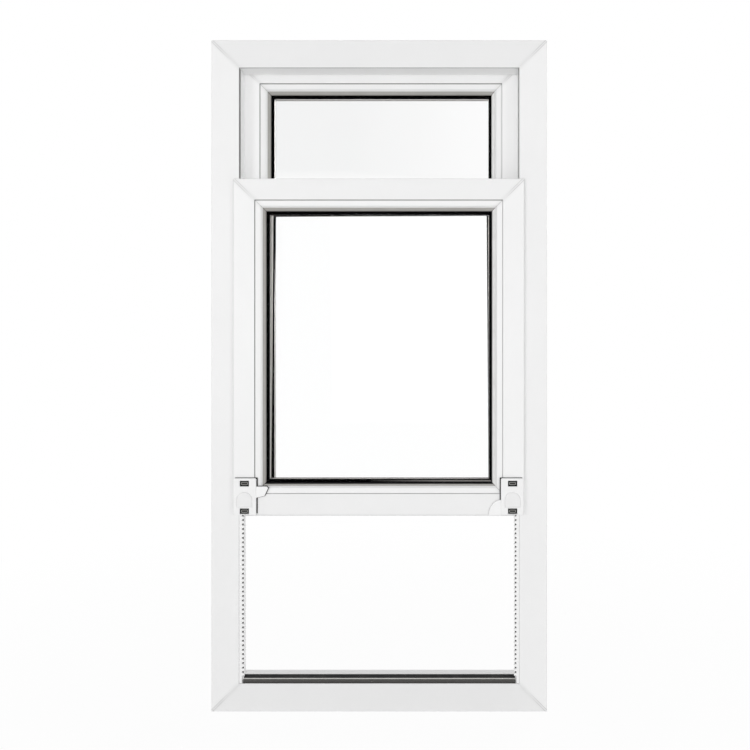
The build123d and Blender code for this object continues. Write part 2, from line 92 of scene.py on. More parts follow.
# %% Wrap a socket in operators
class Value:
    """A number or vector that varies over a surface."""

    def __init__(self, tree, socket):
        self.tree = tree
        self.socket = socket

    def math(self, operation, *values, clamp=False):
        node = self.tree.nodes.new("ShaderNodeMath")
        node.operation = operation
        node.use_clamp = clamp
        for place, value in enumerate(values):
            if isinstance(value, Value):
                self.tree.links.new(value.socket, node.inputs[place])
            else:
                node.inputs[place].default_value = value
        return Value(self.tree, node.outputs[0])

    def __add__(self, other):
        return self.math("ADD", self, other)

    def __sub__(self, other):
        return self.math("SUBTRACT", self, other)

    def __rsub__(self, other):
        return self.math("SUBTRACT", other, self)

    def __mul__(self, other):
        return self.math("MULTIPLY", self, other)

    def __truediv__(self, other):
        return self.math("DIVIDE", self, other)

    def __lt__(self, other):
        return self.math("LESS_THAN", self, other)

    def __gt__(self, other):
        return self.math("GREATER_THAN", self, other)

    def __abs__(self):
        return self.math("ABSOLUTE", self)

    __radd__ = __add__

    def clamp(self):
        return self.math("ADD", self, 0.0, clamp=True)

    def rise(self, low, high):
        """0 below low, 1 above high, and a straight slope between them."""
        return ((self - low) / (high - low)).clamp()

    def near(self, solid, gone):
        """1 around zero, up to the distance solid, fading to 0 at gone: a line with soft edges."""
        return 1 - abs(self).rise(solid, gone)

    def least(self, other):
        return self.math("MINIMUM", self, other)

    def most(self, other):
        return self.math("MAXIMUM", self, other)


# %% Build one finish
class Finish:
    """One material, or the world. Every node that isn't plain maths comes from node()."""

    def __init__(self, name, world=None):
        self.owner = world or bpy.data.materials.new(name)
        self.owner.use_nodes = True
        self.tree = self.owner.node_tree
        self.tree.nodes.clear()

    def node(self, kind, settings=None, sockets=None):
        """Adds a node: first its settings, then the values or links of its input sockets."""
        node = self.tree.nodes.new(kind)
        for name, value in (settings or {}).items():
            setattr(node, name, value)
        for name, value in (sockets or {}).items():
            by_identifier = [s for s in node.inputs if s.identifier == name]
            socket = (by_identifier or [s for s in node.inputs if s.name == name])[0]
            if isinstance(value, Value):
                self.tree.links.new(value.socket, socket)
            else:
                socket.default_value = value
        return node

    def out(self, node, name=0):
        """One output of a node, by its name or place."""
        if isinstance(name, str):
            by_identifier = [s for s in node.outputs if s.identifier == name]
            return Value(self.tree, (by_identifier or [node.outputs[name]])[0])
        return Value(self.tree, node.outputs[name])

    def place(self):
        """Where a point is, in the window's own frame, in metres."""
        return self.out(self.node("ShaderNodeTexCoord"), "Object")

    def axes(self, place):
        """The three coordinates of a place."""
        node = self.node("ShaderNodeSeparateXYZ", sockets={"Vector": place})
        return [self.out(node, axis) for axis in "XYZ"]

    def stretch(self, place, scale):
        """A place with each coordinate multiplied, which stretches what is drawn there."""
        sockets = {"Vector": place, "Vector_001": scale}
        return self.out(self.node("ShaderNodeVectorMath", {"operation": "MULTIPLY"}, sockets))

    def row(self, first, second):
        """A place made from two numbers, for patterns that follow a line of their own."""
        return self.out(self.node("ShaderNodeCombineXYZ", {}, {"X": first, "Y": second}))

    def noise(self, place, scale, detail=2.0, roughness=0.5):
        sockets = {"Vector": place, "Scale": scale, "Detail": detail, "Roughness": roughness}
        return self.out(self.node("ShaderNodeTexNoise", {}, sockets), "Fac")

    def blend(self, factor, first, second):
        """A colour between two colours."""
        sockets = {"Factor_Float": factor, "A_Color": first, "B_Color": second}
        return self.out(self.node("ShaderNodeMix", {"data_type": "RGBA"}, sockets), "Result_Color")

    def bump(self, height, distance):
        """A Normal that follows a height, drawn as relief of that depth in metres."""
        return self.out(self.node("ShaderNodeBump", {}, {"Height": height, "Distance": distance}))

    def looking(self):
        """1 for rays that look, straight, in a mirror or through glass, and 0 for rays of light."""
        rays = self.node("ShaderNodeLightPath")
        mirrored = self.out(rays, "Is Glossy Ray").most(self.out(rays, "Is Transmission Ray"))
        return self.out(rays, "Is Camera Ray").most(mirrored)

    def mixed(self, factor, first, second):
        """A shader that is the first where the factor is 0 and the second where it is 1."""
        sockets = {"Fac": factor, "Shader": self.out(first), "Shader_001": self.out(second)}
        return self.node("ShaderNodeMixShader", {}, sockets)

    def surface(self, shader):
        """Ends the tree in a shader and gives back the material."""
        self.node("ShaderNodeOutputMaterial", {}, {"Surface": self.out(shader)})
        return self.owner

    def close(self, **sockets):
        """Ends the tree in one Principled surface and gives back the material."""
        named = {name.replace("_", " "): value for name, value in sockets.items()}
        return self.surface(self.node("ShaderNodeBsdfPrincipled", {}, named))


def grey(level):
    """A neutral colour from its level on screen, from 0 to 255."""
    share = level / 255
    linear = share / 12.92 if share <= 0.04045 else ((share + 0.055) / 1.055) ** 2.4
    return (linear, linear, linear, 1)


def tone(red, green, blue):
    """A colour from its three levels on screen, from 0 to 255."""
    return (grey(red)[0], grey(green)[0], grey(blue)[0], 1)


print("a screen level of 238 is", round(grey(238)[0], 3))

# %% [markdown]
# ## White extruded plastic
#
# The frame, the sash and the fixed light are cut from extruded bars and welded at the corners. An
# extruded bar has very fine lines along its length from the die, a slightly uneven satin gloss, and
# a few specks of dust. The weld is planed off flat, which leaves fine marks along the mitre and a
# faint line along each edge of the planed strip. Dirt gathers in the seam between bar and bead,
# with painted shade along it, and a line of painted shade runs under the lip of the frame. Behind
# its front face the frame is painted near white, as painted light for its shaded inner faces. An
# image
# could show all this, but it would stretch with the bar. Here it follows from where a point is:
# `along` says which way the bar runs, and `ring` gives the outer rectangle of the welded frame that
# the bar belongs to.

# %% Rings of the three welded frames
SIDES = ("left", "right", "bottom", "top")


def ring_of(*names):
    """Half width, middle height and half height of the rectangle round some nodes."""
    boxes = [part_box(name) for name in names]
    low = [min(b[0][axis] for b in boxes) for axis in range(3)]
    high = [max(b[1][axis] for b in boxes) for axis in range(3)]
    return (high[0] - low[0]) / 2, (high[2] + low[2]) / 2, (high[2] - low[2]) / 2


def seam_of(light):
    """How far the beads start from the outer edge of their welded frame."""
    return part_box(f"{light}_bead_left")[0].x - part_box(f"{light}_stile_left")[0].x


def glazed_ring(light):
    """The ring of a glazed frame, from its beads, because the fixed light is trimmed at the top."""
    half_width, middle, half_height = ring_of(*[f"{light}_bead_{side}" for side in SIDES])
    return half_width + seam_of(light), middle, half_height + seam_of(light)


def inside(ring, x, z):
    """How far a point lies inside a ring: from its nearer side, and from its nearer end."""
    half_width, middle, half_height = ring
    return half_width - abs(x), half_height - abs(z - middle)


frame_ring = ring_of("frame_jamb_left", "frame_jamb_right")
sash_ring, light_ring = glazed_ring("sash"), glazed_ring("fixed")
sash_seam, light_seam = seam_of("sash"), seam_of("fixed")
print("rings:", [[round(v, 4) for v in ring] for ring in (frame_ring, light_ring, sash_ring)])
print("seams at", round(sash_seam, 4), round(light_seam, 4))

# %% [markdown]
# A bar's marks are soft lines, each with a half width where it is solid and one where it is gone.
# The marks go on one by one, as they do on the real bar: the skin first, then the planed weld, then
# dust, then dirt, and with the dirt the painted shade in the seams.

# %% Marks on a bar
WELD_LINE = (0.0009, 0.0016)
WELD_EDGE_AT = 0.0024
WELD_EDGE = (0.0004, 0.0010)
OUTER_HALF = (0.016, 0.034)
SPECK = (0.008, 0.022)


def weld_marks(finish, body, across, from_side, strokes, planed):
    """The planed strip over the mitre, and a line along each of its edges, strongest outside."""
    body = finish.blend(across.near(*WELD_LINE) * 0.12 + planed * strokes * 0.14, body, grey(190))
    edge = (abs(across) - WELD_EDGE_AT).near(*WELD_EDGE)
    outer_half = 1 - from_side.rise(*OUTER_HALF) * 0.75
    return finish.blend(edge * outer_half * (strokes * 0.3 + 0.25), body, grey(140))


def specks(finish, body, place):
    """Specks of dust, one in about every sixth cell of a Voronoi pattern."""
    cells = finish.node("ShaderNodeTexVoronoi", {"feature": "F1"}, {"Vector": place, "Scale": 34.0})
    chosen = finish.node("ShaderNodeSeparateColor", {}, {"Color": finish.out(cells, "Color")})
    spot = (1 - finish.out(cells, "Distance").rise(*SPECK)) * (finish.out(chosen, 0) > 0.82)
    return finish.blend(spot * 0.45, body, tone(120, 118, 112))


# %% White plastic
DIE_SCALE = {"X": (6, 900, 900), "Z": (900, 900, 6)}
PLANED = (0.005, 0.009)
SEAM_LINE = (0.0006, 0.0010)
LIP_DEPTH = 0.0015


def white_plastic(name, level, along, ring, seam, dirt_and_shade, joint, roughness):
    """Extruded white plastic: die lines, planed welds, specks, dirt and painted shade in its seam,
    dark joints, and painted light behind the frame's lip.
    """
    finish = Finish(name)
    place = finish.place()
    x, y, z = finish.axes(place)
    from_side, from_end = inside(ring, x, z)
    across = from_side - from_end
    lip_end = FRONT_FACE + LIP_DEPTH
    die_lines = finish.noise(finish.stretch(place, DIE_SCALE[along]), 1.0, 3.0, 0.6)
    clouds = finish.noise(place, 7.0, 3.0, 0.55)
    skin = finish.noise(place, 420.0, 2.0, 0.5)
    planed = across.near(*PLANED)
    strokes = finish.noise(finish.row(across * 900, from_side * 20), 1.0, 2.0, 0.6).rise(0.35, 0.65)
    shade = clouds.rise(0.35, 0.7) * 0.5 + die_lines * 0.25
    body = finish.blend(shade, grey(level), grey(level - 4))
    # Behind the frame's front face the colour is painted near white: painted light for its shaded
    # soffit, reveals and sill top.
    if ring == frame_ring:
        body = finish.blend(y.rise(lip_end, lip_end + 0.001), body, grey(253))
    body = weld_marks(finish, body, across, from_side, strokes, planed)
    body = specks(finish, body, place)
    if joint:
        body = finish.blend(across.near(joint * 0.6, joint) * 0.6, body, grey(120))
    # The seam line is dirt with painted shade, darker where the seam lies out of the light; on the
    # frame it is a painted shade line along the lip.
    lit_darkening, shaded_darkening = dirt_and_shade
    in_shade = {"X": z > ring[1], "Z": x < 0}[along]
    line = (from_side.least(from_end) - seam).near(*SEAM_LINE)
    if ring == frame_ring:
        line = line * (y < lip_end)
    body = finish.blend(line * (in_shade * (shaded_darkening - lit_darkening) + lit_darkening), body, grey(40))
    gloss = roughness + clouds * 0.10 + planed * 0.06 + (die_lines - 0.5) * 0.05
    height = die_lines * 0.5 + skin * 0.4 + planed * strokes * 1.1
    return finish.close(
        Base_Color=body, Roughness=gloss, Normal=finish.bump(height, 0.00006), IOR=1.5
    )


# %% [markdown]
# Bars along X and along Z catch the light differently, so each part has a level for either. The
# beads are a little glossier than the bars, and a dark joint shows where they meet in the corners.
# Dirt and painted shade along a seam are written as two shares: where light reaches the seam, and
# where it doesn't, which takes the painted shade. On the frame the line under the lip is painted
# shade alone.

# %% Mix the white finishes
HALF_GAP = 0.00045
LIP = 0.0498
BEAD_JOINT = 0.0006
# Shares of darkening along the seam line: dirt with painted shade, and on the frame painted shade
# under the lip.
LIP_SHADE = {"X": (0.0, 0.5), "Z": (0.2, 0.2)}
SEAM_DIRT_AND_SHADE = {"X": (0.3, 0.75), "Z": (0.2, 0.7)}
levels = {
    "frame": {"X": 233, "Z": 239},
    "sash": {"X": 238, "Z": 242},
    "light": {"X": 234, "Z": 245},
    "sash_bead": {"X": 241, "Z": 242},
    "light_bead": {"X": 233, "Z": 239},
}
bars = {
    "frame": (frame_ring, LIP, LIP_SHADE, 0.0, 0.36),
    "sash": (sash_ring, sash_seam + HALF_GAP, SEAM_DIRT_AND_SHADE, 0.0, 0.36),
    "light": (light_ring, light_seam + HALF_GAP, SEAM_DIRT_AND_SHADE, 0.0, 0.36),
    "sash_bead": (sash_ring, sash_seam + HALF_GAP, SEAM_DIRT_AND_SHADE, BEAD_JOINT, 0.30),
    "light_bead": (light_ring, light_seam + HALF_GAP, SEAM_DIRT_AND_SHADE, BEAD_JOINT, 0.30),
}
whites = {}
for part, (ring, seam, dirt_and_shade, joint, gloss) in bars.items():
    for run in "XZ":
        name = f"{part}_white_{run.lower()}"
        level = levels[part][run]
        whites[part, run] = white_plastic(name, level, run, ring, seam, dirt_and_shade[run], joint, gloss)
print("white finishes:", len(whites))


# %% Give the bars their finish
dressed = []


def dress(node_name, material):
    """A CAD node keeps its mesh and takes a better material."""
    node = nodes[node_name]
    if not node.material_slots:
        node.data.materials.append(material)
    for material_slot in node.material_slots:
        material_slot.material = material
    dressed.append(node_name)


for side, run in {"left": "Z", "right": "Z", "bottom": "X", "top": "X"}.items():
    outer = {"left": "jamb_left", "right": "jamb_right", "bottom": "sill", "top": "head"}[side]
    member = {"Z": "stile", "X": "rail"}[run]
    dress(f"frame_{outer}", whites["frame", run])
    dress(f"fixed_{member}_{side}", whites["light", run])
    dress(f"sash_{member}_{side}", whites["sash", run])
    dress(f"fixed_bead_{side}", whites["light_bead", run])
    dress(f"sash_bead_{side}", whites["sash_bead", run])
print("dressed so far:", len(dressed))

# %% [markdown]
# ## Moulded plastic of the corner boxes
#
# The boxes, their thumb pads and the levers are moulded, not extruded: no die lines, but a fine
# even grain and faint rub marks from thumbs. The boxes and levers are a touch glossier than the
# bars, the pads are rougher. One function makes all three, with its own levels for each.

# %% Box plastic
def moulded_plastic(name, colour, shade, grain, roughness):
    """Moulded white plastic with a fine grain and soft rub marks."""
    finish = Finish(name)
    place = finish.place()
    clouds = finish.noise(place, 60.0, 3.0, 0.6)
    texture = finish.noise(place, 1500.0, 2.0, 0.5)
    rubs = finish.noise(finish.stretch(place, (260, 260, 900)), 1.0, 2.0, 0.7).rise(0.62, 0.72)
    body = finish.blend(clouds.rise(0.3, 0.75), colour, shade)
    body = finish.blend(rubs * 0.10, body, tone(205, 205, 202))
    return finish.close(
        Base_Color=body,
        Roughness=roughness + clouds * 0.08 - rubs * 0.06,
        Normal=finish.bump(texture * grain + clouds * 0.4, 0.00008),
        IOR=1.5,
    )


box_plastic = moulded_plastic("box_white", grey(240), grey(237), 0.6, 0.30)
pad_plastic = moulded_plastic("pad_white", grey(236), grey(232), 1.4, 0.42)
lever_plastic = moulded_plastic("lever_white", grey(243), grey(239), 0.5, 0.30)
for side in ("left", "right"):
    dress(f"corner_box_{side}", box_plastic)
    dress(f"thumb_pad_{side}", pad_plastic)
    dress(f"lever_{side}", lever_plastic)
print("dressed so far:", len(dressed))

# %% [markdown]
# ## Black rubber
#
# The flap seals behind the sash are black, and a black rubber in use is never quite black: a pale
# bloom comes to its surface in patches, and dust lies on what faces up. The dust needs to know
# which way a face looks, so it is masked with the Normal's upward part. Fine ribs lie along X, so
# they cross the upright seals like the marks of a die that chatters.

# %% Black rubber
RUBBER_GRAIN = 900.0
DUST = tone(150, 148, 142)


def rubber(name, colour, bloom, dust_share, ribs, roughness, sheen=0.2):
    """Extruded rubber: fine ribs along X, a pale bloom and dust on what faces up."""
    finish = Finish(name)
    place = finish.place()
    up = finish.axes(finish.out(finish.node("ShaderNodeNewGeometry"), "Normal"))[2]
    grain = finish.noise(place, RUBBER_GRAIN, 3.0, 0.6)
    patches = finish.noise(place, 45.0, 3.0, 0.6)
    runs = finish.noise(finish.stretch(place, (4, ribs, ribs)), 1.0, 2.0, 0.5)
    body = finish.blend(patches.rise(0.4, 0.75), colour, bloom)
    body = finish.blend(up.rise(0.3, 1.0) * grain * dust_share, body, DUST)
    return finish.close(
        Base_Color=body,
        Roughness=roughness + patches * 0.15,
        Normal=finish.bump(grain * 0.5 + runs * 0.5, 0.00008),
        IOR=1.5,
        Specular_IOR_Level=sheen,
    )


black_rubber = rubber("black_rubber", tone(26, 26, 27), tone(44, 44, 45), 0.30, 900, 0.38)
for side in ("left", "right"):
    dress(f"flap_seal_{side}", black_rubber)

# %% [markdown]
# ## Grey wedge gaskets
#
# A wedge gasket is pushed in between bead and glass. Its body is mid grey and matt, and painted
# shade darkens the creases at its foot by the bead and its nose by the glass. The corners are cut,
# not moulded, and the cuts look dark. The right side is painted nearly white, as painted light
# where its slope faces the light from the left, and along the bottom the nose is black.
# Each of these follows how far a point lies inside the ring, so one finish serves all four sides.

# %% Wedge gasket
GASKET_FOOT = 0.0134
GASKET_NOSE = 0.0188


def wedge_gasket(name, ring, low_edge, high_edge):
    """Grey wedge gasket: painted shade at foot and nose, dark cut joints, and one side painted
    light.
    """
    finish = Finish(name)
    place = finish.place()
    x, _, z = finish.axes(place)
    from_side, from_end = inside(ring, x, z)
    inset = from_side.least(from_end)
    joint = (from_side - from_end).near(0.0003, 0.0008)
    foot = 1 - (inset - low_edge).rise(0.0002, 0.0010)
    nose = (inset - high_edge).rise(-0.0014, -0.0008)
    black_nose = (inset - high_edge).rise(-0.0027, -0.0023)
    grain = finish.noise(place, RUBBER_GRAIN, 3.0, 0.6)
    patches = finish.noise(place, 45.0, 3.0, 0.6)
    # The right-hand run is painted nearly white: painted light where its slope faces the light from
    # the left.
    painted_light_side = (x > 0) * (from_side < from_end)
    bottom_run = (z < ring[1]) * (from_end < from_side)
    body = finish.blend(painted_light_side, tone(178, 176, 172), tone(254, 254, 253))
    body = finish.blend(patches.rise(0.4, 0.75) * 0.3, body, tone(196, 195, 192))
    # Foot and nose are darkened: painted shade in the creases by the bead and the glass.
    body = finish.blend(foot.most(nose) * 0.45, body, tone(84, 83, 80))
    body = finish.blend(bottom_run * black_nose, body, tone(10, 10, 11))
    body = finish.blend(joint * 0.8, body, tone(46, 45, 44))
    return finish.close(
        Base_Color=body,
        Roughness=0.55 + patches * 0.15,
        Normal=finish.bump(grain * 0.5 - foot - nose, 0.00008),
        IOR=1.5,
        Specular_IOR_Level=0.15,
    )


for light, ring, seam in (("fixed", light_ring, light_seam), ("sash", sash_ring, sash_seam)):
    gasket = wedge_gasket(f"{light}_grey_gasket", ring, seam + GASKET_FOOT, seam + GASKET_NOSE)
    dress(f"{light}_gaskets", gasket)

# %% [markdown]
# ## Sill gasket
#
# The gasket on the sill has two bulbs. The back one stays black. The front one is dusty, and its
# crown carries a painted highlight, which shows as a light line along the sill.

# %% Sill gasket
CROWN_HEIGHT = 0.0068
FRONT_BULB_BACK = 0.0085


def sill_rubber(name, crown_edge, crown_back):
    """Black rubber whose front bulb is dusty, with a painted highlight along its crown."""
    finish = Finish(name)
    place = finish.place()
    _, y, z = finish.axes(place)
    front_bulb = y < crown_back
    grain = finish.noise(place, RUBBER_GRAIN, 3.0, 0.6)
    patches = finish.noise(place, 45.0, 3.0, 0.6)
    runs = finish.noise(finish.stretch(place, (4, 900, 900)), 1.0, 2.0, 0.5)
    # The pale band along the front bulb's crown is a painted highlight.
    crown_highlight = z.rise(crown_edge, crown_edge + 0.0008) * front_bulb
    body = finish.blend(front_bulb, tone(26, 26, 27), tone(70, 69, 67))
    body = finish.blend(patches.rise(0.4, 0.75) * 0.3, body, tone(84, 83, 80))
    body = finish.blend(crown_highlight * (runs * 0.3 + 0.7), body, tone(224, 223, 220))
    return finish.close(
        Base_Color=body,
        Roughness=0.45 + patches * 0.15,
        Normal=finish.bump(grain * 0.5 + runs * 0.5, 0.00008),
        IOR=1.5,
        Specular_IOR_Level=0.25,
    )


sill_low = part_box("sill_gasket")[0]
sill_finish = sill_rubber("sill_rubber", sill_low.z + CROWN_HEIGHT, sill_low.y + FRONT_BULB_BACK)
dress("sill_gasket", sill_finish)
print("dressed so far:", len(dressed))

# %% [markdown]
# ## Glass
#
# Each light is a sealed unit of two clear panes. A pane could be left white and see-through, but
# then nothing would mirror in it, so it is a Principled surface with full transmission. An index
# close to 1 keeps its mirror image faint, because a pale veil would grey the black seals behind. A
# faint grey tint on the fixed panes greys the white behind them, most on the left and not below the
# sash's top. A ray from a lamp would stop at a glass shader, so a Mix Shader lets those rays pass:
# what stands behind the glass is lit as it really is.

# %% Clear glass
GLASS_INDEX = 1.1
TINT_FADE = (-0.02, 0.35)
UNTINTED = (1, 1, 1, 1)


def clear_glass(name, tint, tint_edge):
    """Clear float glass, with a faint grey tint that thins out to the right and below an edge."""
    finish = Finish(name)
    place = finish.place()
    x, _, z = finish.axes(place)
    tint_waver = finish.noise(finish.stretch(place, (9, 9, 4)), 1.0, 4.0, 0.6)
    # The panes are tinted a little grey, most on the left and not below an edge.
    untinted = (x + tint_waver * 0.1).rise(*TINT_FADE).most(1 - z.rise(*tint_edge))
    sockets = {
        "Base Color": finish.blend(untinted, tint, UNTINTED),
        "Roughness": 0.0,
        "IOR": GLASS_INDEX,
        "Transmission Weight": 1.0,
    }
    pane = finish.node("ShaderNodeBsdfPrincipled", {}, sockets)
    open_way = finish.node("ShaderNodeBsdfTransparent", {}, {"Color": (0.97, 0.98, 0.975, 1)})
    rays = finish.node("ShaderNodeLightPath")
    return finish.surface(finish.mixed(finish.out(rays, "Is Shadow Ray"), pane, open_way))


sash_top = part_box("sash_rail_top")[1].z
fixed_tint, sash_tint = (0.947, 0.949, 0.949, 1), (0.997, 0.999, 0.999, 1)
fixed_glass = clear_glass("fixed_glass", fixed_tint, (sash_top, sash_top + 0.03))
sash_glass = clear_glass("sash_glass", sash_tint, (0.0, 0.3))
for pane in ("front", "back"):
    dress(f"fixed_glass_{pane}", fixed_glass)
    dress(f"sash_glass_{pane}", sash_glass)

# %% [markdown]
# ## Spacer bars
#
# Between the panes runs a spacer bar, stuck with black sealant along both panes. Seen from the
# front, the bar's inner face shows as a grey band with a black line on each side of it. The CAD
# holds bar and sealant as one ring, so the band is drawn by depth, from the ring's own front and
# back. The sash's upper run is painted black, as painted shade, and along its bottom a pale strip
# of the bar comes out towards the right.

# %% Spacer bar with its black edge seals
SEALANT = 0.0038
SPACER_SIGHT = 0.0237
PALE_STRIP_ABOVE = 0.0030
PALE_STRIP = (0.0011, 0.0014)
PALE_STRIP_FADE = (-0.02, 0.12)


def spacer_bar(name, ring, depths, sight, top_metal, level):
    """Brushed aluminium bar, black within the sealant's width from either pane."""
    finish = Finish(name)
    place = finish.place()
    x, y, z = finish.axes(place)
    from_side, from_end = inside(ring, x, z)
    on_end = from_end < from_side
    bottom_run = (z < ring[1]) * on_end
    top_run = (z > ring[1]) * on_end
    brushed = finish.noise(finish.stretch(place, (30, 2500, 30)), 1.0, 2.0, 0.5)
    waver = finish.noise(place, 60.0, 3.0, 0.6) * 0.0012
    from_pane = (y - depths[0]).least(depths[1] - y) + waver - 0.0006
    # A top_metal below 1 paints the top run black: on the sash this is painted shade.
    metal = from_pane.rise(SEALANT - 0.0002, SEALANT + 0.0002) * (1 - top_run * (1 - top_metal))
    strip = (from_end - (sight - PALE_STRIP_ABOVE)).near(*PALE_STRIP)
    metal = metal.most(bottom_run * strip * x.rise(*PALE_STRIP_FADE) * 0.95)
    body = finish.blend(metal, tone(4, 4, 5), tone(level, level - 4, level - 6))
    return finish.close(
        Base_Color=body,
        Metallic=metal * 0.4,
        Roughness=0.55 - metal * 0.18 + brushed * 0.1,
        Normal=finish.bump(brushed, 0.00004),
        Specular_IOR_Level=0.02,
    )


for light, ring, seam, top_metal, level in (
    ("fixed", light_ring, light_seam, 1.0, 226),
    ("sash", sash_ring, sash_seam, 0.02, 190),
):
    low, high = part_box(f"{light}_spacer")
    name = f"{light}_spacer_bar"
    bar = spacer_bar(name, ring, (low.y, high.y), seam + SPACER_SIGHT, top_metal, level)
    dress(f"{light}_spacer", bar)
    print(light, "spacer from", round(low.y, 4), "to", round(high.y, 4))

# %% [markdown]
# ## Racks and latch blocks
#
# The racks are white nylon, waxier than the frame. The latch blocks are black nylon with a dry,
# slightly scuffed surface. Both are moulded, so one function mottles the colour and lays light
# upright scuffs over it.

# %% Nylon
SCUFF = tone(150, 150, 148)


def nylon(name, colour, shade, roughness, scuff, sheen=0.5):
    """Moulded nylon: waxy, slightly mottled, with light upright scuffs."""
    finish = Finish(name)
    place = finish.place()
    mottle = finish.noise(place, 120.0, 4.0, 0.65)
    drawn_out = finish.stretch(place, (1400, 1400, 160))
    scratches = finish.noise(drawn_out, 1.0, 2.0, 0.6).rise(0.6, 0.75)
    body = finish.blend(mottle, colour, shade)
    body = finish.blend(scratches * scuff, body, SCUFF)
    return finish.close(
        Base_Color=body,
        Roughness=roughness + mottle * 0.12,
        Normal=finish.bump(mottle * 0.6 + scratches * 0.4, 0.00008),
        IOR=1.53,
        Specular_IOR_Level=sheen,
    )


rack_nylon = nylon("rack_nylon", grey(243), grey(238), 0.38, 0.05)
latch_nylon = nylon("latch_nylon", tone(14, 14, 15), tone(24, 24, 25), 0.45, 0.10, 0.12)
for side in ("left", "right"):
    dress(f"rack_{side}", rack_nylon)
    dress(f"latch_block_{side}", latch_nylon)

# %% [markdown]
# ## Inserts behind the racks
#
# Behind each rack runs a dark coated strip, which is what shows as a row of dark dots between the
# teeth: its dark is partly its own coat and partly painted shade for the deep gaps. The dots grow a
# little paler upwards in the picture, so the strip does too. Its edge on the side of the opening is
# white, drawn by the distance from the window's middle.

# %% Coated strip
WHITE_EDGE = 0.0008
PALE_FROM, PALE_TO = 0.06, 0.30


def coated_strip(name, edge):
    """Dark coated steel strip, partly painted shade, paler upwards, with a white edge on the side
    of the opening.
    """
    finish = Finish(name)
    place = finish.place()
    x, _, z = finish.axes(place)
    mottle = finish.noise(place, 120.0, 4.0, 0.65)
    runs = finish.noise(finish.stretch(place, (1400, 1400, 60)), 1.0, 2.0, 0.6).rise(0.6, 0.75)
    # The dark is the strip's own coat, and also painted shade for the deep gaps between the teeth.
    body = finish.blend(mottle, tone(34, 34, 34), tone(50, 49, 47))
    body = finish.blend(runs * 0.15, body, SCUFF)
    body = finish.blend(z.rise(PALE_FROM, PALE_TO) * 0.5, body, tone(112, 111, 108))
    body = finish.blend(1 - abs(x).rise(edge, edge + 0.0002), body, grey(240))
    return finish.close(
        Base_Color=body,
        Roughness=0.5 + mottle * 0.12,
        Normal=finish.bump(mottle * 0.6 + runs * 0.4, 0.00008),
        Specular_IOR_Level=0.25,
    )


insert_steel_and_shade = coated_strip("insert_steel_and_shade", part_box("rack_insert_right")[0].x + WHITE_EDGE)
for side in ("left", "right"):
    dress(f"rack_insert_{side}", insert_steel_and_shade)
print("dressed so far:", len(dressed))

# %% [markdown]
# ## Buttons in the box windows
#
# Each corner box has two windows, and in each a dark moulded button has its rounded rim painted
# paler, as a painted highlight.
# A button is a stack of rounded rectangles: `step_up` builds one from a list of insets and heights,
# bridging each outline to the next. That gives real edges for the light to catch, where a bump map
# would look flat from the side.

# %% Stepped form from rounded rectangles
SMALLEST_RADIUS = 0.0002


def rounded_outline(width, height, radius, segments=6):
    """Points of a rounded rectangle round the origin, running anticlockwise."""
    points = []
    for quarter, (sign_x, sign_z) in enumerate(((1, 1), (-1, 1), (-1, -1), (1, -1))):
        centre_x, centre_z = sign_x * (width / 2 - radius), sign_z * (height / 2 - radius)
        for step in range(segments + 1):
            angle = math.radians(90 * (quarter + step / segments))
            point = centre_x + radius * math.cos(angle), centre_z + radius * math.sin(angle)
            points.append(point)
    return points


def step_up(mesh, centre, width, height, radius, steps):
    """Adds a closed form that stands towards -Y: each step is an inset and a height."""
    rows = []
    for inset, rise in steps:
        corner_radius = max(radius - inset, SMALLEST_RADIUS)
        outline = rounded_outline(width - 2 * inset, height - 2 * inset, corner_radius)
        points = [(centre[0] + u, centre[1] - rise, centre[2] + v) for u, v in outline]
        rows.append([mesh.verts.new(point) for point in points])
    for lower, upper in zip(rows, rows[1:]):
        for place, corner in enumerate(lower):
            following = (place + 1) % len(lower)
            mesh.faces.new((corner, lower[following], upper[following], upper[place]))
    mesh.faces.new(rows[-1])
    mesh.faces.new(list(reversed(rows[0])))


def piece_from(mesh, name, material):
    """Turns a bmesh into a piece that rides with the window."""
    bmesh.ops.recalc_face_normals(mesh, faces=mesh.faces)
    data = bpy.data.meshes.new(name)
    mesh.to_mesh(data)
    mesh.free()
    data.materials.append(material)
    piece = bpy.data.objects.new(name, data)
    bpy.context.scene.collection.objects.link(piece)
    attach(piece, "root")
    print(name, len(data.polygons), "faces")
    return piece


# %% Button plastic
PLATE_FRONT = -0.0583
RIM_RISE = 0.0014


def button_plastic(name, rim_front):
    """Dark plastic whose raised rim is painted pale, as a painted highlight."""
    finish = Finish(name)
    place = finish.place()
    y = finish.axes(place)[1]
    mottle = finish.noise(place, 260.0, 3.0, 0.6)
    rim_highlight = 1 - (y - rim_front).rise(0.0, 0.0003)
    # The pale rim is a painted highlight on the button's raised edge.
    body = finish.blend(rim_highlight, tone(44, 44, 43), tone(176, 176, 172))
    body = finish.blend(mottle * 0.3, body, tone(96, 96, 93))
    return finish.close(
        Base_Color=body,
        Roughness=0.4 + mottle * 0.1,
        Normal=finish.bump(mottle, 0.00006),
        Specular_IOR_Level=0.15,
    )


button_grey = button_plastic("button_grey", PLATE_FRONT - RIM_RISE)

